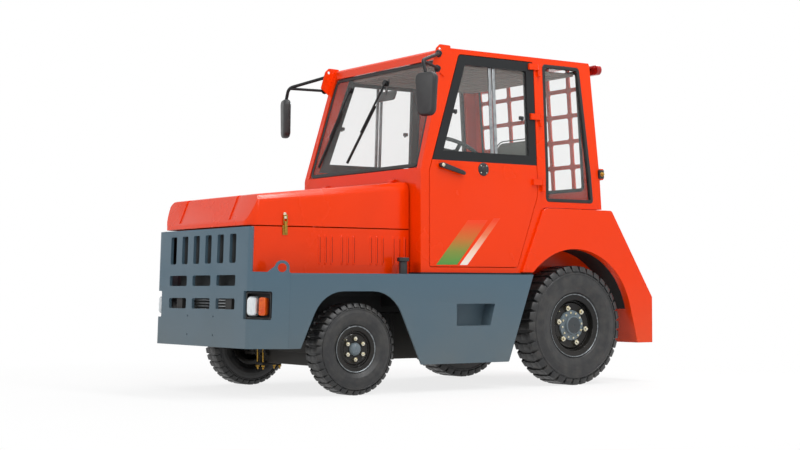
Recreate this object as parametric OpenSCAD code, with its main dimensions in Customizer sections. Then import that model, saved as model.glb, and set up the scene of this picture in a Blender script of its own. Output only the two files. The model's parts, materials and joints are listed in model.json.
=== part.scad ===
// Airport tow tractor: plated chassis, hinged hood, steel cab with rear-hinged doors.
// X runs forward, Y to the driver's left, Z up. Pieces are drawn with X counted from
// the rear axle; placed() then moves them so that the origin is the box's bottom centre.

/* [Overall] */
// Distance between the two axles
wheelbase = 1850; // [1820:5:1900]
// Front axle to the foot of the front plate
front_overhang = 730; // [700:5:760]
// Rear axle to the end of the tow hitch
rear_overhang = 850; // [835:5:880]
// Width over the side plates
body_w = 1556; // [1540:2:1580]
// Width of the cab below its waist
cab_w = 1466; // [1450:2:1480]
// Height of the roof
roof_z = 2300; // [2270:5:2340]
// Height of the deck on the side plates
deck_z = 775; // [768:1:785]

/* [Front and side plates] */
// Thickness of the front plate and its corners
plate_t = 20; // [16:1:24]
// Lean of the front plate, in degrees
plate_lean = 1.9; // [1:0.1:3]
// Height of the front plate's foot
plate_foot_z = 307; // [290:1:325]
// Height of the front plate's top
plate_top_z = 1065; // [1055:1:1068]
// Half width of the flat of the front plate
flat_half = 600; // [580:2:615]
// Bend between the front plate and a corner plate
corner_r = 60; // [50:2:70]
// Turn of the corner plates, in degrees
corner_turn = 55; // [52:1:58]
// Height of the corner plates' top
corner_top_z = 785; // [780:1:795]
// Radius of the lifting eye's hole
eye_r = 28; // [24:1:32]
// Thickness of the side plates
side_t = 12; // [8:1:16]
// Lowest edge of the side plates
skirt_z = 183; // [170:1:200]
// Top of the front wheel arch
arch_top_z = 662; // [650:2:690]
// Depth of the step pocket
step_depth = 110; // [80:5:130]

/* [Hood] */
// Half width of the hood and its side panels
hood_half = 610; // [600:2:620]
// Sheet and frame thickness of hood and panels
hood_t = 12; // [8:1:16]
// Lower edge of the hood
hood_z = 1075; // [1072:1:1085]
// Height of the hood's front crease
crease_z = 1272; // [1255:1:1285]
// Height of the hood's rear edge
hood_rear_z = 1392; // [1380:1:1400]
// Setback of the hood's lip from the plate's foot
lip_back = 31; // [28:1:40]
// Setback of the crease from the lip
crease_back = 72; // [60:2:90]
// Rounding of the hood's shoulders
shoulder_r = 62; // [50:2:75]

/* [Cab] */
// Front of the cab
cab_front_x = 1335; // [1320:1:1345]
// Thickness of the cab's posts and walls
wall_t = 50; // [40:2:56]
// Thickness of the floor plate
floor_t = 12; // [10:1:16]
// Waist, where the sides start to lean in
waist_z = 1480; // [1470:2:1490]
// Lean of the sides above the waist, in degrees
side_lean = 2.9; // [2.5:0.1:3.2]
// Front end of the roof
roof_front_x = 1105; // [1095:1:1115]
// Rear end of the roof
roof_rear_x = -191; // [-200:1:-180]
// Gap round a door
door_gap = 5; // [4:0.5:8]
// Thickness of a door
door_t = 42; // [36:1:46]
// Width of the black window frame
frame_w = 66; // [50:2:74]
// Thickness of the glass
glass_t = 6; // [5:0.5:8]

/* [Wheels] */
// Front tyre diameter
front_d = 588; // [575:1:600]
// Front tyre width
front_w = 180; // [170:1:186]
// Rear tyre diameter
rear_d = 840; // [825:1:855]
// Rear tyre width
rear_w = 235; // [225:1:242]
// Lugs round each tyre
lugs = 36; // [28:1:40]
// Share of the pitch that a lug takes at its foot
lug_width = 0.86; // [0.7:0.01:0.94]
// Depth of the lugs as a share of the radius
lug_share = 0.052; // [0.04:0.002:0.06]
// Outer face of all four tyres
tyre_face_y = 765; // [758:1:770]

/* [Chassis and steering] */
// Middle of a chassis rail
rail_y = 340; // [330:1:348]
// Width of a chassis rail
rail_w = 80; // [70:2:86]
// Underside of the rails
rail_z = 520; // [510:1:530]
// Height of the rails
rail_h = 120; // [110:2:125]
// Distance of a kingpin from the middle
kingpin_y = 560; // [552:1:564]
// Length of a steering arm
arm_l = 150; // [135:1:160]
// Running clearance on the pins
pin_fit = 0.3; // [0.2:0.05:0.4]

/* [Rear] */
// Outer face of the fenders
fender_y = 755; // [745:1:760]
// Inner face of the fenders
fender_in_y = 500; // [490:1:510]
// Top of the fenders
fender_z = 1240; // [1232:1:1250]
// Radius of the rear wheel arch
rear_arch_r = 538; // [520:1:550]
// Rear face of the tail
tail_x = -741; // [-750:1:-735]
// Radius of the tow pin
tow_pin_r = 17; // [14:0.5:20]

/* [Hidden] */
$fn = 64;
e = 1;
touch = 0.2;
lap = 8;
x_front = wheelbase + front_overhang;
origin_x = (x_front - rear_overhang) / 2;
body_half = body_w / 2;
cab_half = cab_w / 2;
floor_z = deck_z + floor_t;
rail_top = rail_z + rail_h;
front_z = front_d / 2;
rear_z = rear_d / 2;
front_mid_y = tyre_face_y - front_w / 2;
rear_mid_y = tyre_face_y - rear_w / 2;
// End of the corner plates, counted back from the front plate's face
bend_x = -corner_r + corner_r * cos(corner_turn);
bend_y = flat_half + corner_r * sin(corner_turn);
corner_l = (body_half - bend_y) / cos(corner_turn);
corner_end = bend_x - corner_l * sin(corner_turn);
eye_up = 814 - plate_foot_z;
eye_along = corner_l - 54;
lamp_up = 577 - plate_foot_z;
panel_front_x = x_front - lip_back - 19;
lip_x = x_front - lip_back;
crease_x = lip_x - crease_back;
hood_rear_x = cab_front_x + 10;
hood_slope = atan((hood_rear_z - crease_z) / (crease_x - hood_rear_x));
hood_pivot = [cab_front_x + 17, hood_rear_z + 12];
rail_roof = roof_z - 15;
rail_side = waist_z + (rail_roof - 2 * touch - waist_z) / cos(side_lean);
screen_slope = atan((cab_front_x - roof_front_x) / (rail_roof - waist_z));
cab_rear_x = roof_rear_x - 74;
rear_slope = atan(74 / (rail_roof - fender_z));
hinge_x = 293;
hinge_out = 14;
hinges = [2188, 1835, 1375];
waist_step = 0.6;
tie_z = 196;
filler_y = (hood_half + body_half) / 2 + 1;
hood_run = crease_x - hood_rear_x;
engine_x = x_front - 1020;
seat_deck_z = 1000;

// Points [x, y, radius] with every corner rounded by its radius
function unit(v) = v / norm(v);
function corner(a, b, c, r) =
    let (u = unit([a[0] - b[0], a[1] - b[1]]), v = unit([c[0] - b[0], c[1] - b[1]]),
        half = acos(max(-1, min(1, u * v))) / 2, m = unit(u + v),
        centre = [b[0], b[1]] + m * r / sin(half),
        from = [b[0], b[1]] + u * r / tan(half) - centre,
        to = [b[0], b[1]] + v * r / tan(half) - centre,
        a0 = atan2(from[1], from[0]), turn = atan2(to[1], to[0]) - a0,
        sweep = turn > 180 ? turn - 360 : turn < -180 ? turn + 360 : turn,
        steps = max(2, ceil(abs(sweep) / 12)))
    [for (i = [0:steps]) centre + r * [cos(a0 + sweep * i / steps), sin(a0 + sweep * i / steps)]];
function rounded(p) = [for (i = [0:len(p) - 1])
    let (a = p[(i + len(p) - 1) % len(p)], b = p[i], c = p[(i + 1) % len(p)])
    each (b[2] > 0 ? corner(a, b, c, b[2]) : [[b[0], b[1]]])];
// The same outline moved out by d, for points that run anticlockwise
function grown(p, d) = [for (i = [0:len(p) - 1])
    let (a = p[(i + len(p) - 1) % len(p)], b = p[i], c = p[(i + 1) % len(p)],
        u = unit([b[0] - a[0], b[1] - a[1]]), v = unit([c[0] - b[0], c[1] - b[1]]),
        n = [u[1], -u[0]], m = [v[1], -v[0]], q = [b[0], b[1]] + d * (n + m) / (1 + n * m))
    [q[0], q[1], b[2] > 0 ? max(0.5, b[2] + d) : 0]];

module outline(p) polygon(rounded(p));
module rrect(w, h, r) {
    square([w - 2 * r, h], center = true);
    square([w, h - 2 * r], center = true);
    for (x = [-1, 1], y = [-1, 1]) translate([x * (w / 2 - r), y * (h / 2 - r)]) circle(r);
}
// Side view outline (x, z) drawn out from y0 to y1
module across(y0, y1) translate([0, y1, 0]) rotate([90, 0, 0]) linear_extrude(y1 - y0) children();
// Front view outline (y, z) drawn out from x0 to x1
module along(x0, x1) translate([x0, 0, 0]) rotate([90, 0, 90]) linear_extrude(x1 - x0) children();
module other_side() mirror([0, 1, 0]) children();
module both_sides() {
    children();
    other_side() children();
}
module placed() translate([-origin_x, 0, 0]) children();
module rod(a, b, r) {
    d = b - a;
    translate(a) rotate([0, acos(d[2] / norm(d)), atan2(d[1], d[0])]) cylinder(r = r, h = norm(d));
}
// Axes of the front plate: X out of its face, Z up along it from its foot
module on_plate() translate([x_front, 0, plate_foot_z]) rotate([0, -plate_lean, 0]) children();
// Axes of a corner plate: X along it from the bend, Y inward
module on_corner() on_plate() translate([bend_x, bend_y, 0]) rotate([0, 0, corner_turn + 90]) children();
module behind_plate() difference() {
    children();
    on_plate() translate([-plate_t, -1000, -600]) cube([400, 2000, 2000]);
}
// Left side leaned in above the waist
module leaned() translate([waist_step, cab_half, waist_z]) rotate([side_lean, 0, 0])
    translate([0, -cab_half, -waist_z]) children();

// Ladder frame
module chassis_frame() color("#2b2d30") behind_plate() {
    rear_x = tail_x + 40;
    both_sides() {
        translate([rear_x, rail_y - rail_w / 2, rail_z]) cube([x_front - rear_x, rail_w, rail_h]);
        // Outriggers to the side plates
        for (x = [x_front + corner_end - 110, wheelbase - 500, 600])
            translate([x, rail_y, rail_top - 80])
                cube([60, body_half - side_t - rail_y, 80]);
        // Spring hangers
        for (x = [-1, 1]) translate([wheelbase + x * 400 - 25, rail_y - 30, rail_z - 62])
            cube([50, 60, 63]);
    }
    for (x = [rear_x, 620, 1040, x_front - 170])
        translate([x, -rail_y, rail_z]) cube([70, 2 * rail_y, rail_h]);
}

// Front plate with its grille slots
module front_plate() color("#5b6f7a") {
    top = (plate_top_z - plate_foot_z) / cos(plate_lean);
    on_plate() translate([-plate_t, 0, 0]) rotate([90, 0, 90]) linear_extrude(plate_t) difference() {
        translate([-flat_half, 0]) square([2 * flat_half, top]);
        for (i = [-2.5:2.5]) translate([i * 164, 933 - plate_foot_z]) rrect(84, 184, 14);
        for (i = [-1:1], z = [731, 583]) translate([i * 331, z - plate_foot_z]) rrect(250, 69, 14);
        for (i = [-1, 1], z = [501, 381]) translate([i * 178, z - plate_foot_z]) circle(6);
        for (i = [-1, 1]) translate([i * flat_half, 577 - plate_foot_z]) rrect(64, 175, 10);
    }
}

// Bent corner plate with the lifting eye
module bend(turn) translate([-corner_r, flat_half]) intersection() {
    difference() {
        circle(corner_r);
        circle(corner_r - plate_t);
    }
    polygon([[0, 0], [3 * corner_r, 0], 3 * corner_r * [cos(turn), sin(turn)]]);
}
module corner_plate() color("#55686f") {
    top = corner_top_z - plate_foot_z;
    full = (plate_top_z - plate_foot_z) / cos(plate_lean);
    difference() {
        union() {
            on_plate() {
                translate([0, 0, -20]) linear_extrude(top + 20) bend(corner_turn);
                translate([0, 0, top]) linear_extrude(full - top) bend(38);
            }
            on_corner() translate([0, plate_t, 0]) rotate([90, 0, 0]) linear_extrude(plate_t) {
                translate([0, -20]) square([corner_l + 40, top + 20]);
                translate([eye_along, eye_up]) circle(eye_r + 18);
                polygon([[eye_along - 92, top - e], [eye_along - 34, eye_up + 18],
                    [eye_along + 34, eye_up + 18], [eye_along + 49, top - e]]);
            }
        }
        on_corner() translate([eye_along, plate_t + e, eye_up]) rotate([90, 0, 0])
            cylinder(r = eye_r, h = plate_t + 2 * e);
        // Lamp opening round the bend
        on_corner() translate([-20, plate_t + 30, lamp_up]) rotate([90, 0, 0])
            linear_extrude(plate_t + 60) rrect(270, 175, 12);
        // Ends flush with the side plate and with the front plate's foot
        on_plate() translate([corner_end - 200, 0, -100]) cube([200, 2000, 1000]);
        translate([0, 0, plate_foot_z - 200]) cube([x_front + 100, 2000, 200]);
    }
}

// Side plate with wheel arch, step pocket and deck
function plate_x(z) = x_front + corner_end * cos(plate_lean)
    - (z - plate_foot_z - corner_end * sin(plate_lean)) * tan(plate_lean) - 2 * touch;
module side_plate() color("#4f6270") {
    edge = [[plate_x(plate_foot_z), plate_foot_z, 0], [plate_x(deck_z), deck_z, 0], [408, deck_z, 0],
        [627, skirt_z, 12], [wheelbase, skirt_z, 0], [wheelbase, plate_foot_z, 0]];
    foot = 431 + 0.465 * (plate_foot_z - skirt_z + 20);
    top = foot - 0.465 * (arch_top_z - skirt_z + 20);
    arch = [[wheelbase - foot, skirt_z - 20, 0], [wheelbase + foot, skirt_z - 20, 0],
        [wheelbase + top, arch_top_z, 240], [wheelbase - top, arch_top_z, 240]];
    step = [[788, 431, 8], [1072, 431, 8], [1072, 578, 8], [746, 578, 8]];
    difference() {
        union() {
            across(body_half - side_t, body_half) difference() {
                outline(edge);
                outline(arch);
            }
            across(body_half - step_depth - 6, body_half - e) outline(grown(step, 6));
            translate([430, hood_half - 20, deck_z - 12])
                cube([x_front - 290 - 430, body_half - hood_half + 20 - e, 12]);
        }
        across(body_half - step_depth, body_half + e) outline(step);
    }
}

// Louvred panel under the hood, its louvres in four threes along it
function louvre_x(share) = hood_rear_x + share * (panel_front_x - hood_rear_x);
module side_panel() color("#e23c16") {
    bottom = 64;
    difference() {
        translate([hood_rear_x, hood_half - 20, deck_z])
            cube([panel_front_x - hood_rear_x, 20, hood_z - 7 - deck_z]);
        translate([hood_rear_x - e, hood_half - 21, deck_z + 40])
            cube([panel_front_x - hood_rear_x - 40 + e, 21 - hood_t + 2, hood_z - 7 - deck_z - 80]);
    }
    for (x = [0.553, 0.409, 0.219, 0.068], i = [-1:1]) translate([louvre_x(x) + 46 * i, hood_half - 3, deck_z + bottom]) {
        cylinder(r = 8, h = 176);
        sphere(r = 8);
        translate([0, 0, 176]) sphere(r = 8);
    }
}

// Hood skin, inset by d
module hood_form(d) {
    half = hood_half - d;
    edge = grown([[hood_rear_x, hood_z, 0], [lip_x, hood_z, 0], [lip_x, hood_z + 22, 8],
        [crease_x, crease_z, 16], [hood_rear_x, hood_rear_z, 0]], -d);
    intersection() {
        across(-half, half) polygon(concat([[hood_rear_x, hood_z - (d > 0 ? 20 : 0)],
            [lip_x - d, hood_z - (d > 0 ? 20 : 0)]], [for (p = rounded(edge)) if (p[1] > hood_z + d + 2) p],
            d > 0 ? [[hood_rear_x - 40, hood_rear_z - d + 4], [hood_rear_x - 40, hood_z - 20]] : []));
        // Rounded shoulders that follow the slope of the top
        translate([crease_x, 0, crease_z]) rotate([0, hood_slope, 0]) along(-hood_run - 250, 300)
            outline([[-half, -900, 0], [half, -900, 0], [half, -d, shoulder_r - d / 2],
                [-half, -d, shoulder_r - d / 2]]);
        translate([0, 0, hood_z - 60]) linear_extrude(600)
            outline([[hood_rear_x - 100, -half, 0], [lip_x - d, -half, 95], [lip_x - d, half, 95],
                [hood_rear_x - 100, half, 0]]);
    }
}
module hood() color("#e8421a") {
    difference() {
        hood_form(0);
        hood_form(hood_t);
        // Grooves beside the raised middle
        for (s = [-1, 1]) intersection() {
            translate([hood_rear_x + 60, s * 345 - 24, hood_z + 40]) cube([hood_run + 250, 48, 500]);
            difference() {
                translate([0, -800, hood_z]) cube([x_front + 500, 1600, 500]);
                hood_form(6);
            }
        }
    }
    for (s = [-1, 1]) difference() {
        union() {
            translate([hood_pivot[0], s * 420 - 20, hood_pivot[1]]) rotate([-90, 0, 0]) cylinder(r = 10, h = 40);
            translate([hood_rear_x, s * 420 - 20, hood_rear_z - 8]) cube([24, 40, 20]);
        }
        translate([hood_pivot[0], s * 420 - 30, hood_pivot[1]]) rotate([-90, 0, 0])
            cylinder(r = 6 + pin_fit, h = 60);
    }
}

// Cooling pack behind the grille
module radiator() color("#232527") translate([x_front - 180, -470, rail_top]) cube([80, 940, 395]);

// Engine and gearbox as plain blocks
module engine() color("#3c4043") {
    inner = rail_y - rail_w / 2;
    translate([engine_x, -250, rail_z - 40]) cube([620, 500, 550]);
    translate([engine_x + 140, -inner, rail_z + 20]) cube([120, 2 * inner, 70]);
    translate([engine_x - 410, -150, rail_z - 90]) cube([430, 300, 330]);
}
module drive_shaft() color("#4a4d50") rod([248, 0, rear_z], [engine_x - 412, 0, rail_z - 50], 34);

// Filler pipe with its cap
module fuel_filler() color("#26282a") {
    translate([cab_front_x + 115, filler_y, deck_z]) cylinder(r = 27, h = 84);
    translate([cab_front_x + 115, filler_y, deck_z + 82]) cylinder(r = 40, h = 26);
}

// Front axle beam with kingpin bosses
module front_axle() color("#2b2d30") difference() {
    union() {
        translate([wheelbase - 45, -kingpin_y, front_z - 40]) cube([90, 2 * kingpin_y, 80]);
        both_sides() translate([wheelbase, kingpin_y, front_z - 51.5]) cylinder(r = 36, h = 103);
    }
    both_sides() translate([wheelbase, kingpin_y, front_z - 60]) cylinder(r = 16 + pin_fit, h = 120);
    // Room for the yokes
    both_sides() difference() {
        translate([wheelbase - 60, kingpin_y, front_z - 60]) cube([120, 60, 120]);
        translate([wheelbase, kingpin_y, front_z - 61]) cylinder(r = 36, h = 122);
    }
}

// Leaf packs with U-bolts
module leaf_springs() color("#303235") both_sides() {
    base = front_z + 40;
    bend = 1300;
    leaf = 12;
    half = [220, 310, 400];
    translate([0, rail_y - 30, 0]) for (i = [0:2]) intersection() {
        translate([wheelbase, 0, base + bend]) rotate([-90, 0, 0]) difference() {
            cylinder(r = bend - leaf * i, h = 60);
            translate([0, 0, -e]) cylinder(r = bend - leaf * (i + 1), h = 60 + 2 * e);
        }
        translate([wheelbase - half[i], -e, base - e]) cube([2 * half[i], 60 + 2 * e, 200]);
    }
    // Eyes under the hangers
    for (x = [-1, 1]) translate([wheelbase + x * 400, rail_y - 30, rail_z - 62 - 20 - touch])
        rotate([-90, 0, 0]) cylinder(r = 20, h = 60);
    // Pads, clamp and bolts
    translate([wheelbase - 40, rail_y - 30, base]) cube([80, 60, 20]);
    translate([wheelbase - 70, rail_y - 52, base + 34]) cube([140, 104, 16]);
    translate([wheelbase - 70, rail_y - 52, front_z - 56]) cube([140, 104, 16]);
    for (x = [-57, 57], y = [-41, 41]) translate([wheelbase + x, rail_y + y, front_z - 76])
        cylinder(r = 8, h = 170);
}

// Steering yoke with kingpin, spindle and arm
module knuckle() color("#34373a") translate([wheelbase, kingpin_y, front_z]) {
    cylinder(r = 16, h = 150, center = true);
    for (z = [-76, 52]) translate([0, 0, z]) {
        cylinder(r = 36, h = 24);
        translate([-36, 0, 0]) cube([72, 60, 24]);
    }
    translate([-45, 40, -76]) cube([90, 26, 152]);
    translate([0, 60, 0]) rotate([-90, 0, 0]) cylinder(r = 24, h = front_mid_y - kingpin_y + 37 - 60);
    translate([-arm_l, -20, -76]) cube([arm_l, 40, 24]);
    translate([-arm_l, 0, -76]) cylinder(r = 20, h = 24);
    translate([-arm_l, 0, -115]) cylinder(r = 11, h = 45);
}

// Rod between the two steering arms
module tie_rod() color("#3a3d40") difference() {
    x = wheelbase - arm_l;
    y = kingpin_y;
    union() {
        both_sides() translate([x, y, tie_z - 12]) cylinder(r = 20, h = 24);
        translate([x, -y + 10, tie_z]) rotate([-90, 0, 0]) cylinder(r = 11.5, h = 2 * y - 20);
    }
    both_sides() translate([x, y, tie_z - 20]) cylinder(r = 11 + pin_fit, h = 40);
}

// Rear axle bolted under the rails
module rear_axle() color("#2b2d30") {
    translate([0, 0, rear_z]) {
        sphere(r = 160);
        rotate([0, 90, 0]) cylinder(r = 58, h = 245);
        translate([0, -fender_in_y - 20, 0]) rotate([-90, 0, 0]) cylinder(r = 62, h = 2 * fender_in_y + 40);
        translate([0, -rear_mid_y - 42, 0]) rotate([-90, 0, 0]) cylinder(r = 32, h = 2 * rear_mid_y + 84);
    }
    both_sides() translate([-60, rail_y - rail_w / 2, rear_z]) cube([120, rail_w, rail_z - rear_z]);
}

// Tyre turned about Z: radius r, half width w, bead radius b and half width bw, rim flange f
module tyre(r, w, b, bw, f) color("#26282a") {
    deep = lug_share * r;
    floor_r = r - deep;
    ring_r = r - 2.3 * deep;
    wall = [[b + touch, bw], [f + 2, bw], [f + 11, w - 12], [b + 0.4 * (r - b), w - 2], [b + 0.56 * (r - b), w],
        [ring_r, w - 4], [ring_r + 2, w - 12], [floor_r, w - 50]];
    rotate_extrude($fn = 96) polygon(concat(wall, [for (i = [len(wall) - 1:-1:0]) [wall[i][0], -wall[i][1]]]));
    // Square lugs that wrap over the shoulders
    intersection() {
        linear_extrude(2 * w, center = true) polygon([for (i = [0:lugs - 1], c = [[-0.5, 0], [-0.36, 1], [0.36, 1],
            [0.5, 0]]) let (a = (i + c[0] * lug_width) * 360 / lugs, q = c[1] > 0 ? r + 20 : ring_r - 6)
            q * [cos(a), sin(a)]]);
        rotate_extrude($fn = 96) polygon([[ring_r - 3, w - 9], [ring_r + 3, w - 5], [r - 0.5 * deep, w - 10], [r, w - 24],
            [r, -w + 24], [r - 0.5 * deep, -w + 10], [ring_r + 3, -w + 5], [ring_r - 3, -w + 9]]);
    }
}
module tyre_front() rotate([-90, 0, 0]) tyre(front_d / 2, front_w / 2, 127, 62, 150);
module tyre_rear() rotate([-90, 0, 0]) tyre(rear_d / 2, rear_w / 2, 190, 84, 224);

// Wheel disc turned about the axle, outboard along +Y
module rim(b, bw, flange, disc, hub, hub_end, bore, bore_end, nuts, pcd, nut_r) color("#1b1c1e")
    rotate([-90, 0, 0]) {
        difference() {
            union() {
                rotate_extrude($fn = 96) polygon([[b - 10, -bw - 8], [flange, -bw - 8], [flange, -bw - touch],
                    [b, -bw - touch], [b, bw + touch], [flange, bw + touch], [flange, bw + 8], [b - 10, bw + 8]]);
                translate([0, 0, disc]) cylinder(r = b - 5, h = 12);
                translate([0, 0, disc - 85]) cylinder(r = hub, h = hub_end - disc + 85);
                for (i = [0:nuts - 1]) rotate(60 * i + 15) translate([pcd / 2, 0, disc + 11])
                    cylinder(r = nut_r, h = 20, $fn = 6);
            }
            translate([0, 0, -300]) cylinder(r = bore + pin_fit, h = 300 + bore_end);
        }
    }
module rim_front() rim(127, 62, 150, 38, 44, 82, 24, 40, 6, 132, 13);
module rim_rear() rim(190, 84, 224, 34, 74, 84, 32, 46, 6, 252, 18);

// Floor plate of the cab
module cab_floor() color("#2a2c2e") translate([380, -cab_half, deck_z]) cube([cab_front_x - 380, cab_w, floor_t]);

// Outlines of the cab's side in x and z
door_low = [[337, 1318, 0], [516, 826, 16], [1262, 826, 16], [1262, 1462, 0]];
door_edge = concat(door_low, [[985, 2262, 24], [337, 2262, 24], [337, 1600, 0]]);
frame_edge = [[337, 1536, 0], [1236, 1536, 0], [985, 2262, 24], [337, 2262, 24]];
quarter = [[257, 1286, 30], [254, 2260, 30], [-89, 2260, 30], [-186, 1286, 30]];
side_edge = [[fender_z / 2.53, floor_z, 0], [cab_front_x, floor_z, 0], [cab_front_x, waist_z - 2 * lap, 0],
    [roof_front_x, rail_side, 0], [roof_rear_x, rail_side, 0], [cab_rear_x, fender_z + 5, 0],
    [290, fender_z + 5, 55]];
module side_form() difference() {
    outline(side_edge);
    outline(grown(door_edge, door_gap));
    outline(quarter);
}
module below_waist() intersection() {
    children();
    translate([-1000, 0, 0]) cube([4000, 1000, waist_z + lap]);
}
module above_waist() intersection() {
    children();
    translate([-1000, 0, waist_z - lap]) cube([4000, 1000, 1500]);
}

// Side of the cab with its posts and hinge halves
module cab_side() color("#e23c16") {
    below_waist() across(cab_half - wall_t, cab_half) side_form();
    leaned() {
        above_waist() across(cab_half - wall_t, cab_half) side_form();
        for (z = hinges) {
            translate([hinge_x, cab_half + hinge_out, z - 21]) cylinder(r = 11, h = 42);
            translate([hinge_x - 12, cab_half - 8, z - 21]) cube([24, hinge_out + 8, 42]);
        }
    }
}

// Wall between the front posts
module cab_front() color("#e23c16") {
    half = cab_half - wall_t;
    translate([cab_front_x - 40, -half, floor_z]) cube([40, 2 * half, waist_z - floor_z]);
    // Hinge lugs and pins for the hood
    for (s = [-1, 1]) {
        for (y = [-33, 23]) translate([0, s * 420 + y, 0]) {
            translate([cab_front_x - e, 0, hood_pivot[1] - 10]) cube([hood_pivot[0] - cab_front_x + e, 10, 20]);
            translate([hood_pivot[0], 0, hood_pivot[1]]) rotate([-90, 0, 0]) cylinder(r = 10, h = 10);
        }
        translate([hood_pivot[0], s * 420 - 33, hood_pivot[1]]) rotate([-90, 0, 0]) cylinder(r = 6, h = 66);
    }
}

// Axes of the cab's rear wall: X forward through it, Z up along it
module on_rear() translate([cab_rear_x, 0, fender_z]) rotate([0, rear_slope, 0]) children();
rear_h = (rail_roof - fender_z) / cos(rear_slope);
rear_kink = (waist_z - fender_z) / cos(rear_slope);
rear_low = cab_half - wall_t - 3;
rear_foot = 1.4;
rear_top = rear_low - (rail_roof - waist_z) * tan(side_lean);
module cab_rear() color("#e23c16") on_rear() along(0, 14) difference() {
    polygon([[-rear_low, rear_foot], [rear_low, rear_foot], [rear_low, rear_kink], [rear_top, rear_h],
        [-rear_top, rear_h], [-rear_low, rear_kink]]);
    // Guard grid cut in the plate
    for (c = [-2.5:2.5], r = [0:4]) {
        w = abs(c) > 2 ? 96 : 200;
        y = abs(c) > 2 ? sign(c) * 523 : c * 230;
        translate([y, 238 + 187 * r]) rrect(w, 157, 18);
    }
}

// Roof panel with the front header
module cab_roof() color("#e23c16") {
    half = cab_half - (rail_roof - waist_z) * tan(side_lean) - 3;
    in = half - wall_t;
    across(-half, half) outline([[roof_rear_x, rail_roof, 0], [roof_front_x - 2, rail_roof, 0],
        [roof_front_x - 16, roof_z, 10], [roof_rear_x + 6, roof_z, 6]]);
    across(-in, in) polygon([[roof_front_x - 44, rail_roof + e], [roof_front_x - 30, rail_roof - 55],
        [roof_front_x + 15, rail_roof - 55], [roof_front_x - 2, rail_roof + e]]);
}

// Axes of the windscreen: X out through it, Z up along it
module on_screen() translate([cab_front_x - 22, 0, waist_z]) rotate([0, -screen_slope, 0]) children();
screen_h = (rail_roof - 59 - waist_z) / cos(screen_slope);
module cab_glass() color("#aeb9bd", 0.4) {
    low = cab_half - wall_t - 2 * touch;
    top = low - screen_h * cos(screen_slope) * tan(side_lean);
    on_screen() along(0, glass_t) polygon([[-low, 2], [low, 2], [top, screen_h], [-top, screen_h]]);
    both_sides() {
        below_waist() across(cab_half - 30, cab_half - 30 + glass_t)
            outline(grown(quarter, -touch - waist_step));
        leaned() above_waist() across(cab_half - 30, cab_half - 30 + glass_t)
            outline(grown(quarter, -touch - waist_step));
    }
    on_rear() along(14 + touch, 14 + touch + 5) translate([-585, 145]) square([1170, 880]);
}

// Door panel below the window
module door_form() outline(concat(door_low, [frame_edge[1], frame_edge[0]]));
module door() color("#e23c16") {
    below_waist() across(cab_half - door_t, cab_half) door_form();
    leaned() {
        above_waist() across(cab_half - door_t, cab_half) door_form();
        // Lower hinge half
        translate([hinge_x, cab_half + hinge_out, hinges[2] + 22]) cylinder(r = 11, h = 42);
        translate([hinge_x, cab_half + 8, hinges[2] + 22]) cube([90, 9, 42]);
        translate([350, cab_half - 8, hinges[2] + 22]) cube([33, 17, 42]);
    }
}

// Black frame round the door's window
module window_frame() color("#1d1f21") leaned() {
    across(cab_half - door_t + 6, cab_half) difference() {
        outline(frame_edge);
        outline(grown(frame_edge, -frame_w));
    }
    for (z = [hinges[0], hinges[1]]) {
        translate([hinge_x, cab_half + hinge_out, z + 22]) cylinder(r = 11, h = 42);
        translate([hinge_x, cab_half + 8, z + 22]) cube([90, 9, 42]);
        translate([350, cab_half - 8, z + 22]) cube([33, 17, 42]);
    }
}
module door_glass() color("#aeb9bd", 0.4) leaned()
    across(cab_half - 26, cab_half - 26 + glass_t) outline(grown(frame_edge, -frame_w - touch));

// Rear fender over the wheel
module fender() color("#e23c16") across(fender_in_y, fender_y)
    polygon(concat(rounded([[487, 791, 0], [290, fender_z, 55], [-345, fender_z, 30], [tail_x, 618, 20],
        [tail_x, 287, 0], [-593, 287, 0]]),
        [for (i = [0:24]) let (a = 168 - i * (168 - asin((791 - rear_z) / rear_arch_r)) / 24)
            [rear_arch_r * cos(a), rear_z + rear_arch_r * sin(a)]]));

// Seat platform and sloped tail between the fenders
module rear_body() color("#d8391a") across(-fender_in_y, fender_in_y)
    polygon([[380, rail_top], [380, seat_deck_z], [-238, seat_deck_z], [-238, fender_z], [-345, fender_z - 4],
        [tail_x + 8, 622], [tail_x + 40, 622], [tail_x + 40, rail_top]]);

// Rear plate and the stepped hitch
module rear_plate() color("#4f6270") translate([tail_x, -fender_in_y, 287]) cube([40, 2 * fender_in_y, 335]);
hitch_l = rear_overhang + tail_x;
module tow_hitch() color("#2b2d30") difference() {
    union() {
        translate([tail_x - 22, -95, 300]) cube([22, 190, 290]);
        for (z = [310, 400, 490, 560]) translate([tail_x - hitch_l + 60, 0, z]) {
            cylinder(r = 60, h = 24);
            translate([0, -60, 0]) cube([hitch_l - 60 - 10, 120, 24]);
        }
    }
    translate([tail_x - hitch_l + 60, 0, 280]) cylinder(r = tow_pin_r + pin_fit, h = 340);
    translate([tail_x, -100, 280]) cube([100, 200, 340]);
}
module tow_pin() color("#8a8f92") {
    translate([tail_x - hitch_l + 60, 0, 0]) {
        translate([0, 0, 300]) cylinder(r = tow_pin_r, h = 320);
        translate([0, 0, 584]) cylinder(r = 24, h = 12);
        translate([0, -55, 626]) rotate([-90, 0, 0]) cylinder(r = 10, h = 110);
    }
}

// Driver's seat
module seat_base() color("#2a2c2e") translate([-70, -190, seat_deck_z]) cube([400, 380, 150]);
module seat_cushion() color("#6f756f") translate([125, 0, seat_deck_z + 150]) linear_extrude(120) rrect(470, 480, 60);
module seat_back() color("#6f756f") translate([-50, 0, seat_deck_z + 277]) rotate([0, -7, 0])
    along(-50, 60) translate([0, 260]) rrect(470, 520, 90);

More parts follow.
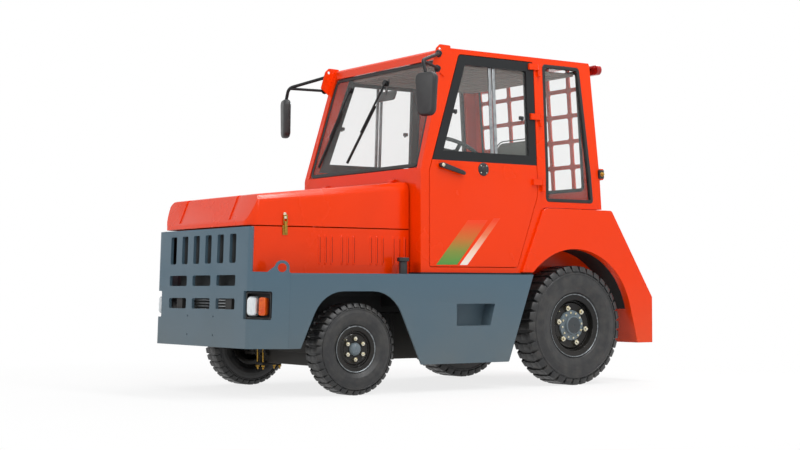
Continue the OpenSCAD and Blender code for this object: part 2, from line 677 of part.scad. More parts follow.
// Instrument panel, console and steering column
wheel_at = [490, 0, 1680];
module on_column() translate(wheel_at) rotate([0, -28, 0]) children();
module dashboard() color("#232527") {
    half = cab_half - wall_t;
    across(-half, half) outline([[1050, 1290, 20], [cab_front_x - 40, 1250, 0], [cab_front_x - 40, 1440, 0],
        [1090, 1420, 30]]);
    translate([1000, -260, floor_z]) cube([cab_front_x - 40 - 1000, 520, 500]);
    on_column() translate([0, 0, -760]) cylinder(r = 34, h = 700);
    translate([800, -60, floor_z]) cube([201, 120, 360]);
}
module steering_wheel() color("#1d1f21") on_column() {
    rotate_extrude() translate([190, 0]) circle(14);
    translate([0, 0, -59]) cylinder(r = 30, h = 60);
    for (i = [0:2]) rotate(120 * i + 60) translate([0, -14, -10]) cube([190, 28, 12]);
}

// Mirror bracket plates on the front posts
module mirror_brackets() color("#d8391a") both_sides() leaned() across(cab_half, cab_half + 8) difference() {
    outline([[1060, 2255, 0], [1118, 2097, 10], [1215, 2165, 14], [1180, 2290, 14], [1150, 2318, 14], [1062, 2316, 10]]);
    translate([1150, 2286]) circle(11);
}
// Two tubes on each side that carry a mirror
arm_a = [1165, cab_half - 21, 2252];
arm_b = [1180, cab_half - 17, 2150];
arm_c = [1405, cab_half + 117, 2168];
arm_d = [1404, cab_half + 152, 1959 + 125 + 3.8];
module mirror_arms() color("#1d1f21") both_sides() {
    rod(arm_a, arm_c, 9);
    rod(arm_b, arm_c, 9);
    rod(arm_c, arm_d, 9);
    translate(arm_c) sphere(r = 11);
    leaned() for (p = [[1165, 2252], [1180, 2150]])
        translate([p[0], cab_half + 8, p[1]]) rotate([-90, 0, 0]) cylinder(r = 16, h = 24);
}
module mirror_heads() color("#232527") both_sides() translate([1404, cab_half + 162, 1959]) rotate([0, 0, 20]) intersection() {
    along(-30, 30) rrect(170, 250, 40);
    linear_extrude(400, center = true) outline([[-22, -90, 0], [20, -90, 30], [34, 0, 60], [20, 90, 30], [-22, 90, 0]]);
}

// Lamp units in the corner openings
module on_lamp() on_plate() translate([-58, flat_half + 32, lamp_up]) rotate([0, 0, 42]) children();
module lamp_boxes() color("#17181a") both_sides() difference() {
    union() {
        on_lamp() translate([-70, -70, -82]) cube([82, 164, 164]);
        on_corner() translate([95, plate_t + touch, lamp_up - 30]) cube([50, 12, 60]);
    }
    on_lamp() translate([-60, -62, -72]) cube([100, 148, 144]);
}
module head_lenses() color("#dfe6e8") both_sides() on_lamp() translate([-60 + touch, -24, 0])
    along(0, 74) rrect(72, 136, 20);
module turn_lenses() color("#f08a1c") both_sides() on_lamp() translate([-60 + touch, 49, 0])
    along(0, 77) rrect(66, 136, 16);

// Rear lamps under the roof's rear corners
module tail_lamps() color("#b3201c") both_sides() {
    translate([roof_rear_x - 62, cab_half - 93, rail_roof - 25]) along(-40, 0) rrect(150, 70, 34);
    translate([roof_rear_x - 63, cab_half - 143, rail_roof - 12]) cube([62, 90, 10]);
}

// Wipers hung from the top of the windscreen
module wipers() color("#1a1b1d") {
    // columns: pivot y, pivot height, blade foot y, blade foot height
    arms = [[55, 665, -208, 89], [-394, 660, -588, 82]];
    on_screen() for (a = arms) {
        dir = atan2(a[2] - a[0], a[1] - a[3]);
        run = norm([a[2] - a[0], a[3] - a[1]]);
        translate([glass_t + touch, a[0], a[1]]) rotate([0, 90, 0]) cylinder(r = 20, h = 30);
        translate([glass_t, a[0], a[1]]) rotate([dir, 0, 0]) {
            translate([16, -7, -run * 0.62]) cube([8, 14, run * 0.62]);
            translate([8, -4, -run]) cube([9, 8, run * 0.7]);
        }
    }
}

placed() chassis_frame();
placed() front_plate();
placed() corner_plate();  // corner_plate_left
placed() other_side() corner_plate();  // corner_plate_right
placed() side_plate();  // side_plate_left
placed() other_side() side_plate();  // side_plate_right
placed() side_panel();  // side_panel_left
placed() other_side() side_panel();  // side_panel_right
placed() hood();
placed() radiator();
placed() engine();
placed() drive_shaft();
placed() fuel_filler();
placed() front_axle();
placed() leaf_springs();
placed() knuckle();  // knuckle_left
placed() other_side() knuckle();  // knuckle_right
placed() tie_rod();
placed() rear_axle();
placed() translate([wheelbase, front_mid_y, front_z]) tyre_front();  // tyre_fl
placed() other_side() translate([wheelbase, front_mid_y, front_z]) tyre_front();  // tyre_fr
placed() translate([0, rear_mid_y, rear_z]) tyre_rear();  // tyre_rl
placed() other_side() translate([0, rear_mid_y, rear_z]) tyre_rear();  // tyre_rr
placed() translate([wheelbase, front_mid_y, front_z]) rim_front();  // rim_fl
placed() other_side() translate([wheelbase, front_mid_y, front_z]) rim_front();  // rim_fr
placed() translate([0, rear_mid_y, rear_z]) rim_rear();  // rim_rl
placed() other_side() translate([0, rear_mid_y, rear_z]) rim_rear();  // rim_rr
placed() cab_floor();
placed() cab_front();
placed() cab_side();  // cab_side_left
placed() other_side() cab_side();  // cab_side_right
placed() cab_rear();
placed() cab_roof();
placed() cab_glass();
placed() door();  // door_left
placed() other_side() door();  // door_right
placed() window_frame();  // window_frame_left
placed() other_side() window_frame();  // window_frame_right
placed() door_glass();  // door_glass_left
placed() other_side() door_glass();  // door_glass_right
placed() fender();  // fender_left
placed() other_side() fender();  // fender_right
placed() rear_body();
placed() rear_plate();
placed() tow_hitch();
placed() tow_pin();
placed() seat_base();
placed() seat_cushion();
placed() seat_back();
placed() dashboard();
placed() steering_wheel();
placed() mirror_brackets();
placed() mirror_arms();
placed() mirror_heads();
placed() lamp_boxes();
placed() head_lenses();
placed() turn_lenses();
placed() tail_lamps();
placed() wipers();
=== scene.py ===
import json
from math import cos, pi, radians, sin, tau

import bmesh
import bpy
from mathutils import Matrix, Vector


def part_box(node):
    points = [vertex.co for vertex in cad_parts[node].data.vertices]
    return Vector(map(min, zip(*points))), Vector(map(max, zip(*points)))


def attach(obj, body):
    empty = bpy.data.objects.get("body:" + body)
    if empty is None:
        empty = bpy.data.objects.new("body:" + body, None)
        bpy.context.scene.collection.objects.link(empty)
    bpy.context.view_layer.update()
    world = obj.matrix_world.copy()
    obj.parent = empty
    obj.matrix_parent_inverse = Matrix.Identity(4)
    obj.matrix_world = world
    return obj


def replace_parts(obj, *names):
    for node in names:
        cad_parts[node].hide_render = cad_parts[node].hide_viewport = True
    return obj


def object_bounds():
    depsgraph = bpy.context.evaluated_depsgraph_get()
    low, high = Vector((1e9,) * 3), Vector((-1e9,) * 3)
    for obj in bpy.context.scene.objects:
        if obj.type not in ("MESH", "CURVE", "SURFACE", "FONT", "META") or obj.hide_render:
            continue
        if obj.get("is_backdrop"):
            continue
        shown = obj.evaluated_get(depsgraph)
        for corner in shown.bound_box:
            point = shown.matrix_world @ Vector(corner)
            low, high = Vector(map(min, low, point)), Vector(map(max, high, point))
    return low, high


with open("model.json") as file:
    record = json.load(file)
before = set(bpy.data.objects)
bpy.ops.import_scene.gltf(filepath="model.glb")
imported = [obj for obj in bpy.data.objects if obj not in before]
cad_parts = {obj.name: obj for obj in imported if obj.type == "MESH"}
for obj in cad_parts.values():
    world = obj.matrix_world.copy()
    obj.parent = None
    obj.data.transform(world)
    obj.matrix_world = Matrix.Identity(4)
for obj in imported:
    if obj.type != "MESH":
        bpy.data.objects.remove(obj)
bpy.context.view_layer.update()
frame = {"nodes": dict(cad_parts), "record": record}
MM = 1000  # millimetres in a metre
MIDDLE = 865  # mm from the rear axle forward to the middle of the tractor
WELD = 0.00002  # m within which points are one
SHARP = 0.9  # radians between two faces, past which their edge is rounded


# The photograph's viewpoint: a long lens held low off the tractor's front left
# corner, looking a little upwards, so that the hood and the roof are seen edge on.
camera_at = Vector((6.3436, 8.9012, 0.6751))
camera_yaw, camera_pitch = radians(55.057), radians(2.404)
level = cos(camera_pitch)
looking = Vector((-cos(camera_yaw) * level, -sin(camera_yaw) * level, sin(camera_pitch)))
camera = bpy.data.objects.new("photo_camera", bpy.data.cameras.new("photo_camera"))
camera.data.sensor_width = 36.0
camera.data.lens = 68.83
camera.data.clip_end = 200.0
camera.matrix_world = Matrix.Translation(camera_at) @ looking.to_track_quat("-Z", "Y").to_matrix().to_4x4()
bpy.context.scene.collection.objects.link(camera)
bpy.context.scene.camera = camera


# Heavy bumper and skirt plates: flame-cut sheet, bent and welded, sprayed in a
# semi-gloss blue-grey. The front plate and its two corners are one bent sheet.
def linear(code):
    """sRGB hex colour as linear RGBA."""
    parts = [int(code[i:i + 2], 16) / 255 for i in (0, 2, 4)]
    return (*[c / 12.92 if c <= 0.04045 else ((c + 0.055) / 1.055) ** 2.4 for c in parts], 1.0)


def node(tree, kind, settings=(), links=()):
    """Adds a shader node, sets its properties or inputs, and links (socket, input) pairs to it."""
    made = tree.nodes.new(kind)
    for key, value in dict(settings).items():
        if isinstance(key, str) and hasattr(made, key):
            setattr(made, key, value)
        else:
            made.inputs[key].default_value = value
    for source, key in links:
        tree.links.new(source, made.inputs[key])
    return made


def finish(name, **surface):
    """A new material with its Principled sockets set, returned with its tree and shader."""
    made = bpy.data.materials.new(name)
    made.use_nodes = True
    shader = made.node_tree.nodes["Principled BSDF"]
    for key, value in surface.items():
        shader.inputs[key.replace("_", " ")].default_value = value
    return made, made.node_tree, shader


def place_in(tree):
    """The socket that gives each point's place on the tractor."""
    return node(tree, "ShaderNodeTexCoord").outputs["Object"]


def noise(tree, place, across, detail):
    """Cloudy noise in patches about as wide as across."""
    cloud = node(tree, "ShaderNodeTexNoise", {"Scale": 1 / across, "Detail": detail}, [(place, "Vector")])
    return cloud.outputs["Fac"]


def roughen(tree, shader, height, strength):
    """Gives a shader a bump of up to 1 mm that follows a height."""
    skin = node(tree, "ShaderNodeBump", {"Strength": strength, "Distance": 0.001}, [(height, "Height")])
    tree.links.new(skin.outputs["Normal"], shader.inputs["Normal"])


def enamel(name, colour, dust, gloss):
    """Sprayed enamel: an even coat with fine orange peel, a duller bloom in patches,
    and road dust that thickens towards the ground."""
    made, tree, shader = finish(name, Base_Color=linear(colour), Roughness=gloss, IOR=1.32)
    place = place_in(tree)
    height = node(tree, "ShaderNodeSeparateXYZ", links=[(place, 0)]).outputs["Z"]
    cloud = noise(tree, place, 0.35, 6.0)
    low = node(tree, "ShaderNodeMapRange", {"From Min": 0.75, "From Max": 0.15, "To Min": 0.0, "To Max": 0.55},
               [(height, "Value")]).outputs["Result"]
    film = node(tree, "ShaderNodeMath", {"operation": "MULTIPLY"}, [(cloud, 0), (low, 1)]).outputs[0]
    coat = node(tree, "ShaderNodeMix", {"data_type": "RGBA", 6: linear(colour), 7: linear(dust)}, [(film, 0)])
    tree.links.new(coat.outputs[2], shader.inputs["Base Color"])
    sheen = node(tree, "ShaderNodeMapRange", {"From Min": 0.35, "From Max": 0.7, "To Min": gloss - 0.05,
                                              "To Max": gloss + 0.12}, [(cloud, "Value")]).outputs["Result"]
    tree.links.new(sheen, shader.inputs["Roughness"])
    # Orange peel is about 2 mm across; drawn at 6 mm so that it shows in the highlights
    roughen(tree, shader, noise(tree, place, 0.006, 2.0), 0.04)
    return made


def body_of(part):
    """Name of the body that carries a solid."""
    return next(name for name, nodes in frame["record"]["behaviour"]["bodies"].items() if part in nodes)


def place_piece(name, shape, coat, body, smooth=35):
    """Links a bmesh as a finished piece that rides on a body."""
    mesh = bpy.data.meshes.new(name)
    shape.to_mesh(mesh)
    shape.free()
    piece = bpy.data.objects.new(name, mesh)
    bpy.context.scene.collection.objects.link(piece)
    for material in coat if isinstance(coat, list) else [coat]:
        mesh.materials.append(material)
    mesh.shade_smooth()
    mesh.set_sharp_from_angle(angle=radians(smooth))
    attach(piece, body)
    return piece


def rounded(shape, geom, by, steps, kind="EDGES", clamp=False):
    """Rounds edges or corners of a bmesh by a distance in metres."""
    return bmesh.ops.bevel(shape, geom=geom, offset=by, offset_type="OFFSET", affect=kind, segments=steps,
                           profile=0.5, material=-1, clamp_overlap=clamp)


def dressed(parts, coat, edge, name=None, bold=None):
    """Copies solids into one piece with its sharp edges broken by a small round, and
    those that bold picks by a large one."""
    parts = [parts] if isinstance(parts, str) else parts
    shape = bmesh.new()
    for part in parts:
        shape.from_mesh(frame["nodes"][part].data)
    bmesh.ops.remove_doubles(shape, verts=shape.verts, dist=WELD)
    bmesh.ops.dissolve_limit(shape, angle_limit=radians(0.6), verts=shape.verts, edges=shape.edges)
    if bold:
        edges = [e for e in shape.edges if e.calc_face_angle(0.0) > SHARP and all(bold(v.co) for v in e.verts)]
        rounded(shape, edges, 0.016, 5, clamp=True)
    piece = place_piece(name or parts[0] + "_coat", shape, coat, body_of(parts[0]))
    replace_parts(piece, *parts)
    if edge:
        round_off = piece.modifiers.new("broken_edges", "BEVEL")
        round_off.width = edge
        round_off.segments = 3
        round_off.limit_method = "ANGLE"
        round_off.angle_limit = radians(32)
        round_off.harden_normals = True
    return piece


plate_enamel = enamel("plate_enamel", "4F6674", "7C786C", gloss=0.34)
dressed(["front_plate", "corner_plate_left", "corner_plate_right"], plate_enamel, 0.003, "bumper_coat")
for part in ("side_plate_left", "side_plate_right", "rear_plate"):
    dressed(part, plate_enamel, 0.002)


# Ladder frame, axles and steering: rolled section and forgings in black chassis
# paint, which is satin where it is clean and brown with road dirt low down.
chassis_paint = enamel("chassis_paint", "26282A", "5C554B", gloss=0.5)
for part in ("chassis_frame", "front_axle", "knuckle_left", "knuckle_right", "tie_rod", "rear_axle",
             "drive_shaft", "leaf_springs", "tow_hitch", "cab_floor", "seat_base"):
    dressed(part, chassis_paint, 0.002)


# Dropped beam and spring clamps of the front axle: a fabricated black beam under
# the forged one, with yellow-passivated U-bolts and nuts that hold the leaf packs.
def spot(x, y, z):
    """A point given in mm from the rear axle, in the model's metres."""
    return Vector((x - MIDDLE, y, z)) / MM


def moved_to(x, y, z):
    """The move that takes the model's origin to a spot."""
    return Matrix.Translation(spot(x, y, z))


def swung(axis, degrees):
    """The turn about an axis."""
    return Matrix.Rotation(radians(degrees), 4, axis)


def oblong(u0, v0, u1, v1):
    """Corners of an upright rectangle."""
    return [(u0, v0), (u1, v0), (u1, v1), (u0, v1)]


def join(shape, other):
    """Moves all of another bmesh into a shape."""
    spare = bpy.data.meshes.new("spare")
    other.to_mesh(spare)
    other.free()
    shape.from_mesh(spare)
    bpy.data.meshes.remove(spare)


def slab(shape, corners, low, high, lie, round_by=0.0, soft=0.0, rim=0.0):
    """Adds a flat outline in mm with rounded corners, thick from low to high, laid in place;
    with a rim it is a frame of that width."""
    made = bmesh.new()
    points = [made.verts.new((u / MM, v / MM, low / MM)) for u, v in corners]
    made.faces.new(points)
    if round_by:
        rounded(made, points, round_by / MM, 6, "VERTICES")
    if rim:
        ring = bmesh.ops.inset_region(made, faces=made.faces[:], thickness=rim / MM, use_even_offset=True,
                                      use_boundary=True)["faces"]
        bmesh.ops.delete(made, geom=[face for face in made.faces if face not in ring], context="FACES")
    grown = bmesh.ops.extrude_face_region(made, geom=made.faces[:])["geom"]
    top = [v for v in grown if isinstance(v, bmesh.types.BMVert)]
    bmesh.ops.translate(made, vec=(0, 0, (high - low) / MM), verts=top)
    bmesh.ops.recalc_face_normals(made, faces=made.faces)
    if soft:
        rounded(made, [e for e in made.edges if e.calc_face_angle(0.0) > SHARP], soft / MM, 3, clamp=True)
    bmesh.ops.transform(made, matrix=lie, verts=made.verts)
    bmesh.ops.recalc_face_normals(made, faces=made.faces)
    join(shape, made)


def lathe(shape, outline, steps, soft=0.0, closed=False):
    """Turns an outline of (radius, height) points about Z, its corners rounded first."""
    points = [shape.verts.new((radius, 0.0, height)) for radius, height in outline]
    for pair in zip(points, points[1:] + points[:1] if closed else points[1:]):
        shape.edges.new(pair)
    if soft:
        rounded(shape, points if closed else points[1:-1], soft, 4, "VERTICES", clamp=True)
    bmesh.ops.spin(shape, geom=shape.verts[:] + shape.edges[:], cent=(0, 0, 0), axis=(0, 0, 1), angle=tau,
                   steps=steps, use_merge=True)
    bmesh.ops.remove_doubles(shape, verts=shape.verts, dist=0.00001)
    bmesh.ops.recalc_face_normals(shape, faces=shape.faces)


def turned(shape, outline, lie, steps=24, soft=0.0):
    """Adds a turned form, its outline in mm of radius and height, laid in place."""
    made = bmesh.new()
    lathe(made, [(radius / MM, height / MM) for radius, height in outline], steps, soft / MM)
    bmesh.ops.transform(made, matrix=lie, verts=made.verts)
    join(shape, made)


def prism(shape, sides, radius, low, high):
    """Adds an upright prism to a bmesh and returns its edges."""
    made = bmesh.ops.create_cone(shape, cap_ends=True, segments=sides, radius1=radius, radius2=radius,
                                 depth=high - low)["verts"]
    bmesh.ops.translate(shape, vec=(0, 0, (low + high) / 2), verts=made)
    return {e for v in made for e in v.link_edges}


def hex_nut(shape, across, low, high, stud):
    """A chamfered hexagon with the rounded end of its stud, standing on Z."""
    edges = prism(shape, 6, across, low, high)
    rims = [e for e in edges if abs(e.verts[0].co.z - e.verts[1].co.z) < 1e-6]
    rounded(shape, rims, across * 0.14, 2)
    edges = prism(shape, 16, across * 0.5, high, high + stud)
    rounded(shape, [e for e in edges if min(v.co.z for v in e.verts) > high + stud * 0.9], across * 0.15, 3)


def flipped(shape):
    """A mirror image of a shape, on the other side of the tractor."""
    other = shape.copy()
    bmesh.ops.scale(other, vec=(1, -1, 1), verts=other.verts)
    bmesh.ops.recalc_face_normals(other, faces=other.faces)
    return other


def mirrored(shape):
    """Adds a shape's mirror image to it."""
    join(shape, flipped(shape))


def on_both_doors(name, shape, coat):
    """Places a shape drawn on the left door there, and its mirror image on the right door."""
    other = flipped(shape)
    place_piece(name + "_left", shape, coat, "door_left")
    place_piece(name + "_right", other, coat, "door_right")


def cut(shape, at, across):
    """Cuts the faces of a shape along a plane."""
    bmesh.ops.bisect_plane(shape, geom=shape.verts[:] + shape.edges[:] + shape.faces[:], dist=1e-6,
                           plane_co=at, plane_no=across)


def grained(name, colour, worn, patch, grain, rough, depth, **surface):
    """A material with soft patches of a second colour, patch across, and a fine bumpy grain."""
    made, tree, shader = finish(name, Base_Color=linear(colour), Roughness=rough, **surface)
    place = place_in(tree)
    cloud = noise(tree, place, patch, 4.0)
    share = node(tree, "ShaderNodeMapRange", {"From Min": 0.4, "From Max": 0.75}, [(cloud, "Value")]).outputs[0]
    tint = node(tree, "ShaderNodeMix", {"data_type": "RGBA", 6: linear(colour), 7: linear(worn)}, [(share, 0)])
    tree.links.new(tint.outputs[2], shader.inputs["Base Color"])
    dull = node(tree, "ShaderNodeMapRange", {"From Min": 0.3, "From Max": 0.75, "To Min": max(rough - 0.06, 0.01),
                                             "To Max": rough + 0.1}, [(cloud, "Value")]).outputs[0]
    tree.links.new(dull, shader.inputs["Roughness"])
    roughen(tree, shader, noise(tree, place, grain, 3.0), depth)
    return made


# Zinc plating: pale metal whose yellow passivate lies in blotches about 12 mm across.
zinc_plate = grained("zinc_plate", "DAD8CC", "C8B67C",
                     patch=0.012, grain=0.002, rough=0.3, depth=0.03, Metallic=1.0)
# Lies of an outline: drawn across the tractor (y, z) and thick along x, on its side
# (x, z) and thick along y, or from above (x, y) and thick along z.
across_lie = Matrix(((0, 0, 1, -MIDDLE / MM), (1, 0, 0, 0), (0, 1, 0, 0), (0, 0, 0, 1)))
side_lie = Matrix(((1, 0, 0, -MIDDLE / MM), (0, 0, 1, 0), (0, 1, 0, 0), (0, 0, 0, 1)))
flat_lie = moved_to(0, 0, 0)
beam = bmesh.new()
slab(beam, [(-520, 262), (-440, 168), (440, 168), (520, 262)], 1810, 1890, across_lie, 20, 6)
for y in (-362, 362):
    slab(beam, oblong(y - 46, 152, y + 46, 172), 1772, 1928, across_lie, 0, 4)
place_piece("axle_beam", beam, chassis_paint, "frame")
clamps = bmesh.new()
for x in (1784, 1916):
    for y in (324, 400):
        turned(clamps, oblong(0, 122, 6, 390), moved_to(x, y, 0), 16, 2)
        nut = bmesh.new()
        hex_nut(nut, 0.012, 0.0, 0.014, 0.006)
        bmesh.ops.transform(nut, matrix=moved_to(x, y, 152) @ swung("X", 180), verts=nut.verts)
        join(clamps, nut)
    slab(clamps, oblong(320, 378, 404, 392), x - 8, x + 8, across_lie, 6, 4)
mirrored(clamps)
yellow_zinc = grained("yellow_zinc", "B08A3C", "7C6430",
                      patch=0.01, grain=0.002, rough=0.36, depth=0.04, Metallic=1.0)
place_piece("spring_clamps", clamps, yellow_zinc, "frame")


# Tanks under the cab and inner wing sheets: folded and seam-welded sheet in chassis
# black, the tanks slung from the rails by straps, the sheets fixed up the rails' sides.
tanks = bmesh.new()
slab(tanks, oblong(950, 205, 1430, 519), 165, 384, side_lie, 36, 7)
for x in (1050, 1310):
    slab(tanks, oblong(x, 201, x + 34, 519), 161, 388, side_lie, 6, 3)
slab(tanks, oblong(1352, 630, 2440, 772), 394, 398, side_lie, 10, 1)
mirrored(tanks)
place_piece("tanks_and_wings", tanks, chassis_paint, "frame")
core = bmesh.new()
for z in range(520, 640, 20):
    slab(core, oblong(-440, z, 440, z + 9), 2468, 2482, across_lie, 3, 2)
for y in (-446, 440):
    slab(core, oblong(y - 8, 500, y + 14, 645), 2462, 2486, across_lie, 4, 3)
aluminium = grained("bare_aluminium", "A4A8AA", "84888C",
                    patch=0.03, grain=0.002, rough=0.32, depth=0.04, Metallic=1.0)
place_piece("oil_cooler", core, aluminium, "frame")


# Engine, gearbox and radiator: plain blocks in dark iron paint, seen behind the
# grille, from below and under the lifted hood.
cast_iron = enamel("cast_iron", "3A3D3F", "5C554B", gloss=0.6)
for part in ("engine", "radiator"):
    dressed(part, cast_iron, 0.006)


# Hood, cab, fenders and tail: pressed and folded sheet steel in gloss orange-red
# two-pack enamel. The wheel arches and the backs of the panels are painted black as shade.
def repaint(piece, coat, chosen, cuts=()):
    """Gives the faces that a test of their middle and normal picks another coat, after cuts along planes of y."""
    shape = bmesh.new()
    shape.from_mesh(piece.data)
    for y in cuts:
        cut(shape, (0, y, 0), (0, 1, 0))
    piece.data.materials.append(coat)
    for face in shape.faces:
        if chosen(face.calc_center_median(), face.normal):
            face.material_index = len(piece.data.materials) - 1
    shape.to_mesh(piece.data)
    shape.free()


cab_enamel = enamel("cab_enamel", "EE3A00", "B86A48", gloss=0.2)
painted_shade_black = grained("painted_shade_black", "161718", "2A2826", patch=0.05, grain=0.003, rough=0.7, depth=0.3)
dressed("hood", cab_enamel, 0.005)
for part in ("cab_front", "cab_rear", "cab_roof", "door_left", "door_right", "rear_body", "mirror_brackets"):
    dressed(part, cab_enamel, 0.004)
# Lean of the cab's sides, which starts at the waist
lean = moved_to(865.6, 733, 1480) @ swung("X", 2.9) @ Matrix.Translation(-spot(865, 733, 1480))
WAIST = 1.48
POST_FOOT, POST_TOP_BACK = 0.470, 0.2858  # front post: its x at the waist, and its way back for each metre up
SKIN_Y, ROOF_EDGE = 0.7315, 2.280  # outer skin of the cab's side, and height of the roof's edge


def on_outer_corner(at):
    """True on the outer corner of the cab's side, up its front post and along the roof."""
    flat = Vector((at.x, abs(at.y), at.z))
    if at.z > WAIST - 0.001:
        flat = lean.inverted() @ flat
    front = POST_FOOT - max(flat.z - WAIST + 0.006, 0.0) * POST_TOP_BACK
    return flat.y > SKIN_Y and (flat.x > front - 0.006 or flat.z > ROOF_EDGE)


WELL_Y, ARCH_LIP, ARCH_R = 0.505, 0.694, 0.542  # inner wall and lip of the rear arch, and just over its radius


def in_arch(at, out):
    """True on the fender's inner wall and inside its wheel arch."""
    from_axle = Vector((at.x + MIDDLE / MM, at.z - 0.42))
    return abs(at.y) < WELL_Y or abs(at.y) < ARCH_LIP and from_axle.length < ARCH_R


for part in ("cab_side_left", "cab_side_right"):
    dressed(part, cab_enamel, 0.004, bold=on_outer_corner)
for side in ("left", "right"):
    # Inward faces of the side panels, and the fenders' inner walls and arches, take a black that is painted shade
    repaint(dressed("side_panel_" + side, cab_enamel, 0.004), painted_shade_black, lambda at, out: out.y * at.y < -0.01)
    repaint(dressed("fender_" + side, cab_enamel, 0.004), painted_shade_black, in_arch, (ARCH_LIP, -ARCH_LIP))


# Louvre slits and toggle latches of the hood's side panels: the slits are thin dark red
# strips, painted shade in the open edge of each pressed louvre, and a zinc toggle pulls a hook on the hood down.
shade_slits = bmesh.new()
latch = bmesh.new()
hook = bmesh.new()
# Thin dark red strips on the panel: painted shade where each louvre opens
for x in (2000, 1830, 1604.5, 1425.5):
    for turn in (-46, 0, 46):
        slab(shade_slits, oblong(x + turn - 11, 846, x + turn - 7, 1008), 609.6, 610.6, side_lie, 1.5)
for corners, low, high in (oblong(2281, 1016, 2317, 1078), 608, 616), \
        ([(2289, 1026), (2309, 1026), (2306, 1102), (2292, 1102)], 614, 624), \
        (oblong(2284, 1086, 2290, 1142), 616, 622), \
        (oblong(2308, 1086, 2314, 1142), 616, 622), \
        (oblong(2284, 1136, 2314, 1143), 615, 622):
    slab(latch, corners, low, high, side_lie, 2.5, 1.5)
slab(hook, oblong(2290, 1118, 2308, 1134), 608, 620, side_lie, 2, 1.5)
slab(hook, [(2287, 1124), (2311, 1124), (2308, 1158), (2290, 1158)], 607, 613, side_lie, 4, 1.5)
louvre_shade = enamel("louvre_shade", "8C1E06", "7A3420", gloss=0.5)
for shape, name, coat, body in (
        (shade_slits, "louvre_shade_slits", louvre_shade, "frame"),
        (latch, "hood_latches", yellow_zinc, "frame"),
        (hook, "hood_hooks", zinc_plate, "hood")):
    mirrored(shape)
    place_piece(name, shape, coat, body)


# Window frames of the doors, mirror arms and wipers: steel and aluminium section
# powder coated in satin black. The frames' hinge straps are sprayed with the cab.
powder_black = enamel("powder_black", "1E2022", "4A4844", gloss=0.4)
dressed("wipers", powder_black, 0.0015)
for side in ("left", "right"):
    repaint(dressed("window_frame_" + side, powder_black, 0.0015), cab_enamel,
            lambda at, out: at.x < -0.48 and (lean.inverted() @ Vector((at.x, abs(at.y), at.z))).y > 0.7334)


# Door furniture: a black lever handle on a zinc pivot, a round lock plate with four
# screws, and two bands of coloured film laid across the panel.
moulded_black = grained("moulded_black", "1C1D1F", "2C2D2E", patch=0.08, grain=0.0025, rough=0.46, depth=0.15)
handle = bmesh.new()
slab(handle, [(1196, 1497), (1190, 1514), (1166, 1519), (992, 1469), (977, 1453), (988, 1440), (1176, 1483)],
     748, 763, side_lie, 7, 4)
slab(handle, [(1146, 1486), (1180, 1486), (1188, 1514), (1150, 1514)], 731, 750, side_lie, 8, 2)
outward = swung("X", -90)
turned(handle, [(0, 15), (17, 15), (20, 12), (23, 8), (39, 8), (44, 5), (45, 0)],
       moved_to(810, 732, 1488) @ outward, 48, 1.5)
screws = bmesh.new()
turned(screws, [(0, 8), (10, 7), (13, 3), (14, -2)], moved_to(1169, 762, 1501) @ outward, 24, 1)
for turn in range(4):
    swing = swung("Y", 45 + 90 * turn)
    lie = moved_to(810, 739.5, 1488) @ swing @ Matrix.Translation((0.033, 0, 0)) @ outward
    turned(screws, [(0, 3), (3.5, 2.4), (5, 0)], lie, 12)


BAND_FOOT, BAND_RISE, STRAY = 830, 330, 20  # mm: foot and height of the bands, and how far the ink wanders


def film(name, stops):
    """Printed vinyl film whose colour runs through stops (height in mm, colour), with a faint mottle."""
    made, tree, shader = finish(name, Roughness=0.3, IOR=1.48)
    place = place_in(tree)
    height = node(tree, "ShaderNodeSeparateXYZ", links=[(place, 0)]).outputs["Z"]
    # Ink wanders by about 10 mm each way, in patches 40 mm across
    mottle = noise(tree, place, 0.04, 3.0)
    level = node(tree, "ShaderNodeMath", {"operation": "MULTIPLY_ADD", 1: STRAY / MM}, [(mottle, 0), (height, 2)])
    foot = BAND_FOOT + STRAY / 2
    share = node(tree, "ShaderNodeMapRange", {"From Min": foot / MM, "From Max": (foot + BAND_RISE) / MM},
                 [(level.outputs[0], "Value")]).outputs[0]
    ramp = node(tree, "ShaderNodeValToRGB", links=[(share, "Fac")])
    for stop, (up, colour) in zip(ramp.color_ramp.elements, (stops[0], stops[-1])):
        stop.position, stop.color = (up - BAND_FOOT) / BAND_RISE, linear(colour)
    for up, colour in stops[1:-1]:
        ramp.color_ramp.elements.new((up - BAND_FOOT) / BAND_RISE).color = linear(colour)
    tree.links.new(ramp.outputs["Color"], shader.inputs["Base Color"])
    return made


green_film = film("green_film", [(850, "4F8F3A"), (930, "7E8A34"), (1020, "C86A22"), (1130, "EE3A00")])
pale_film = film("pale_film", [(850, "F0E6DC"), (940, "F2C8B0"), (1040, "E87A50"), (1140, "EE3A00")])
green_band, pale_band = bmesh.new(), bmesh.new()
slab(green_band, [(1209, 837), (1035, 839), (773, 1145), (943, 1140)], 732.8, 733.7, side_lie)
slab(pale_band, [(1014, 837), (950, 838), (665, 1159), (722, 1158)], 732.8, 733.7, side_lie)
on_both_doors("door_handle", handle, moulded_black)
on_both_doors("door_screws", screws, zinc_plate)
on_both_doors("green_band", green_band, green_film)
on_both_doors("pale_band", pale_band, pale_film)


# Moulded black plastic: filler cap, instrument panel and steering wheel, with a
# fine spark-eroded grain.
for part in ("fuel_filler", "dashboard", "steering_wheel"):
    dressed(part, moulded_black, 0.003)


